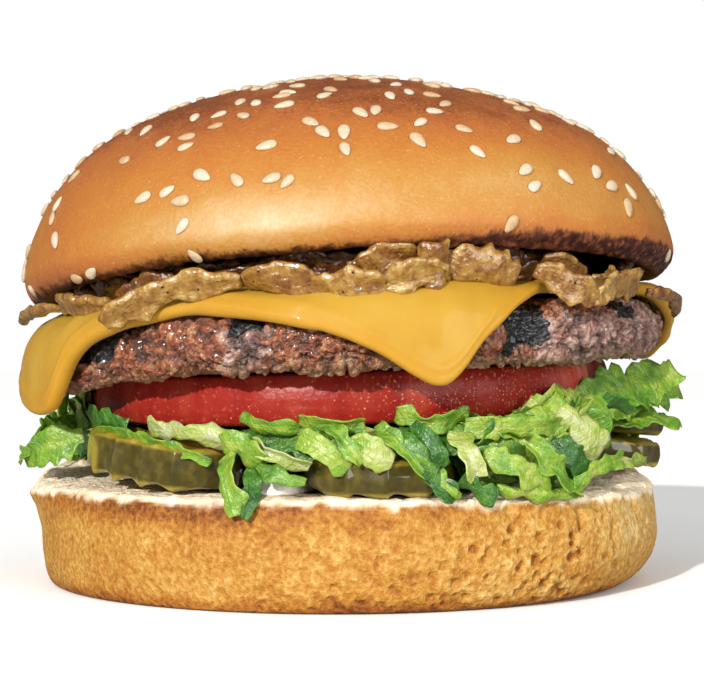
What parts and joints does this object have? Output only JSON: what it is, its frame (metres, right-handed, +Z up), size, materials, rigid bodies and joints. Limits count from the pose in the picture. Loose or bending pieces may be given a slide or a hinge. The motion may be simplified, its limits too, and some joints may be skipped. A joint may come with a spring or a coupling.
{
  "type": "cheeseburger",
  "caption": "Cheeseburger in a seeded bun with crinkle-cut pickles, shredded lettuce, tomato, a beef patty, a melted square cheese slice and browned onions.",
  "frame": {"origin": "centre of the bottom bun's flat base, on the surface it stands on", "axes": "+Z up through the stack; -Y towards the side shown in the picture, where a corner of the cheese hangs; +X to the right of that view"},
  "size_m": [0.1175, 0.1139, 0.0869],
  "materials": {
    "bottom_bun": "baked crust, satin",
    "mayonnaise": "glossy spread",
    "pickle": "wet, crinkle cut",
    "lettuce": "crisp leaf, satin",
    "tomato": "wet flesh",
    "patty": "browned ground beef, moist",
    "cheese": "melted, soft gloss",
    "onion": "browned, wet",
    "top_bun": "baked crust, satin"
  },
  "bodies": {
    "root": {"bottom_bun": "bottom_bun", "mayonnaise": "mayonnaise", "pickle_front": "pickle", "pickle_left": "pickle", "pickle_right_lower": "pickle", "pickle_right_upper": "pickle", "pickle_back_right": "pickle", "pickle_back_left": "pickle", "lettuce": "lettuce", "tomato": "tomato", "patty": "patty", "cheese": "cheese", "onions": "onion", "top_bun": "top_bun"}
  },
  "joints": []
}
